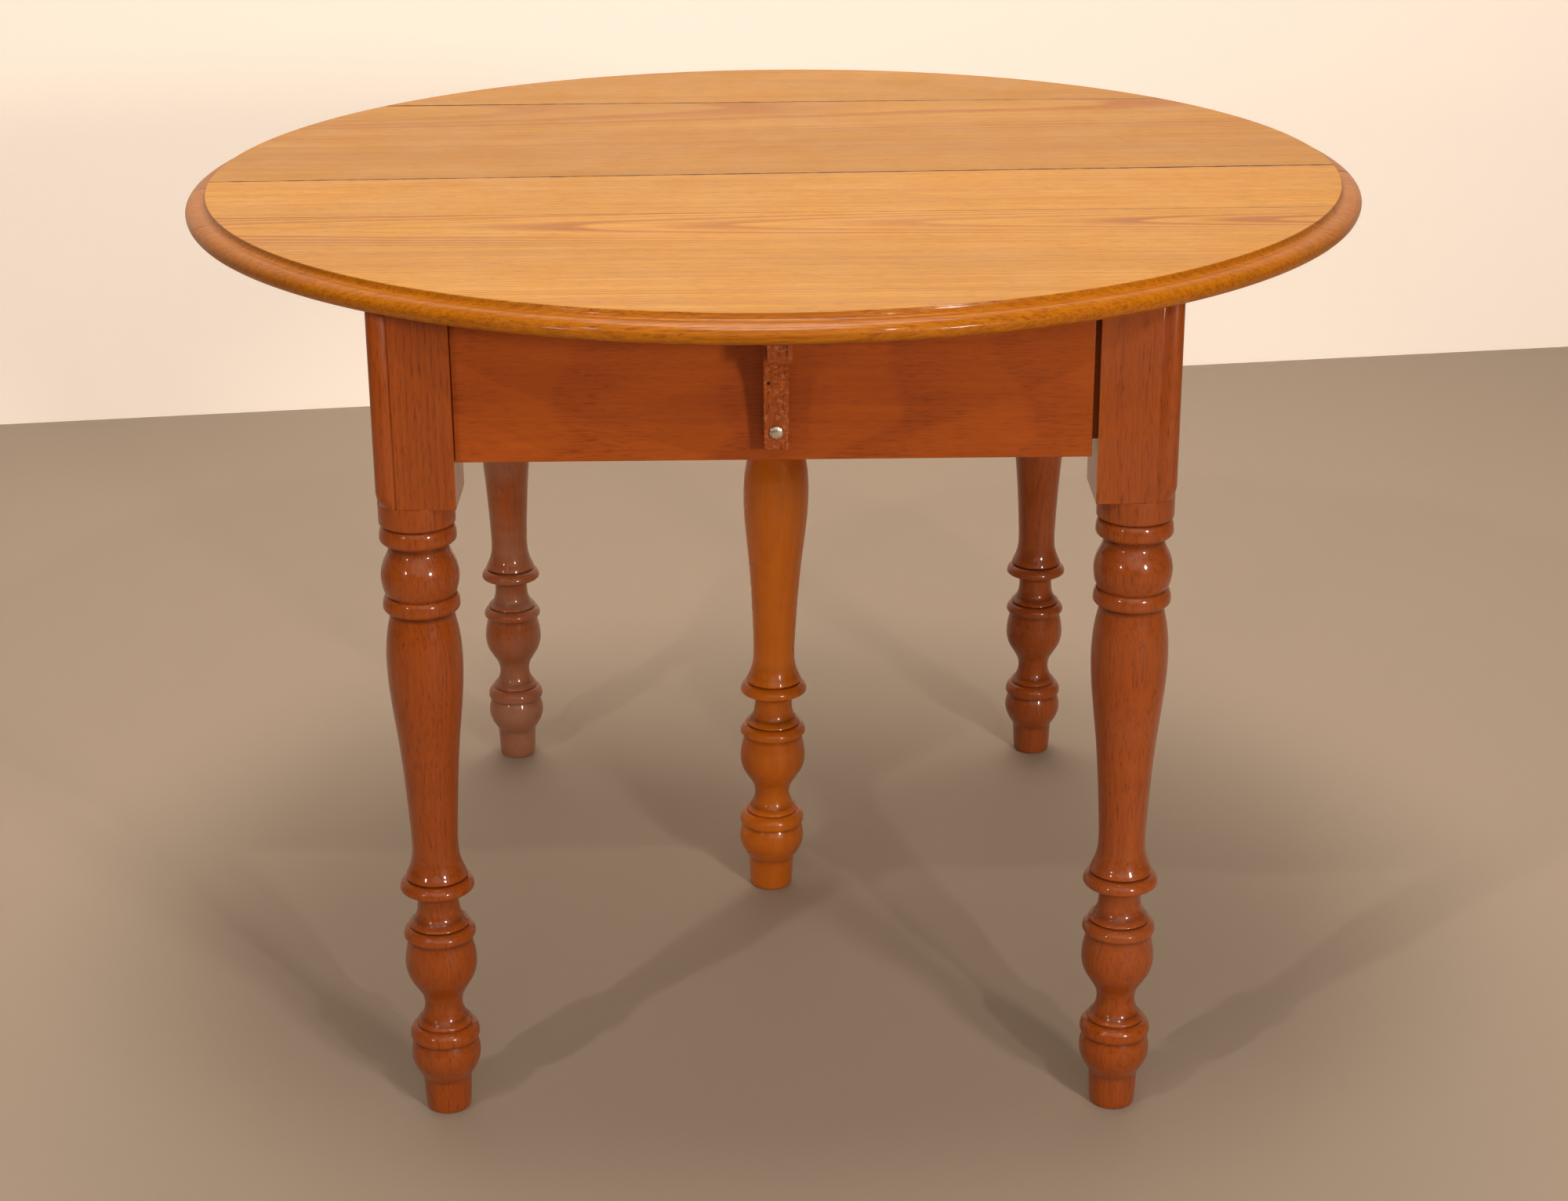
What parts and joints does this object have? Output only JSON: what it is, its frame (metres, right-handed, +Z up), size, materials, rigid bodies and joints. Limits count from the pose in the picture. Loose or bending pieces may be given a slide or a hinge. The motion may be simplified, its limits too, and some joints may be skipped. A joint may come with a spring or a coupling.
{
  "type": "round extension table",
  "caption": "Round wooden dining table on turned legs; its top splits across the middle and the halves slide apart on wooden rails to take extra leaves.",
  "frame": {"origin": "on the floor under the middle of the closed round top", "axes": "+X to the right across the front, +Y towards the back half and along the slides, +Z up"},
  "size_m": [1.0668, 1.0668, 0.756],
  "materials": {
    "oak_top": "golden oak, satin lacquer",
    "frame_oak": "red-brown stained oak, satin lacquer",
    "centre_leg_maple": "orange-brown stained maple, gloss lacquer",
    "bracket_wood": "dark stained, rough sawn",
    "slide_maple": "bare maple, waxed",
    "plain_softwood": "bare softwood",
    "dowel_beech": "bare beech",
    "screw_steel": "bright steel"
  },
  "bodies": {
    "centre": {"centre_bearer": "plain_softwood", "centre_leg_brace_left": "plain_softwood", "centre_leg_brace_right": "plain_softwood", "centre_rail_left": "slide_maple", "centre_rail_right": "slide_maple", "centre_rail_tie_back": "plain_softwood", "centre_rail_tie_front": "plain_softwood", "leg_centre": "centre_leg_maple"},
    "front_half": {"apron_front": "frame_oak", "apron_left_front": "frame_oak", "apron_right_front": "frame_oak", "bracket_screw_front": "screw_steel", "cleat_front": "plain_softwood", "cleat_left_front": "plain_softwood", "cleat_right_front": "plain_softwood", "corner_brace_front_left": "plain_softwood", "corner_brace_front_right": "plain_softwood", "front_rail_left": "slide_maple", "front_rail_right": "slide_maple", "front_rail_stop_left": "slide_maple", "front_rail_stop_right": "slide_maple", "leg_front_left": "frame_oak", "leg_front_right": "frame_oak", "rim_bracket_front": "bracket_wood", "top_front_inner_board": "oak_top", "top_front_outer_board": "oak_top"},
    "back_half": {"apron_back": "frame_oak", "apron_left_back": "frame_oak", "apron_right_back": "frame_oak", "back_rail_left": "slide_maple", "back_rail_right": "slide_maple", "back_rail_stop_left": "slide_maple", "back_rail_stop_right": "slide_maple", "bracket_screw_back": "screw_steel", "cleat_back": "plain_softwood", "cleat_left_back": "plain_softwood", "cleat_right_back": "plain_softwood", "corner_brace_back_left": "plain_softwood", "corner_brace_back_right": "plain_softwood", "leg_back_left": "frame_oak", "leg_back_right": "frame_oak", "rim_bracket_back": "bracket_wood", "seam_dowel_left": "dowel_beech", "seam_dowel_middle": "dowel_beech", "seam_dowel_right": "dowel_beech", "top_back_inner_board": "oak_top", "top_back_outer_board": "oak_top"}
  },
  "joints": [
    {"name": "front_half_slide", "type": "slide", "parent": "centre", "child": "front_half", "axis": [0, -1, 0], "range_m": [0, 0.45]},
    {"name": "back_half_slide", "type": "slide", "parent": "centre", "child": "back_half", "axis": [0, 1, 0], "range_m": [0, 0.45]}
  ]
}
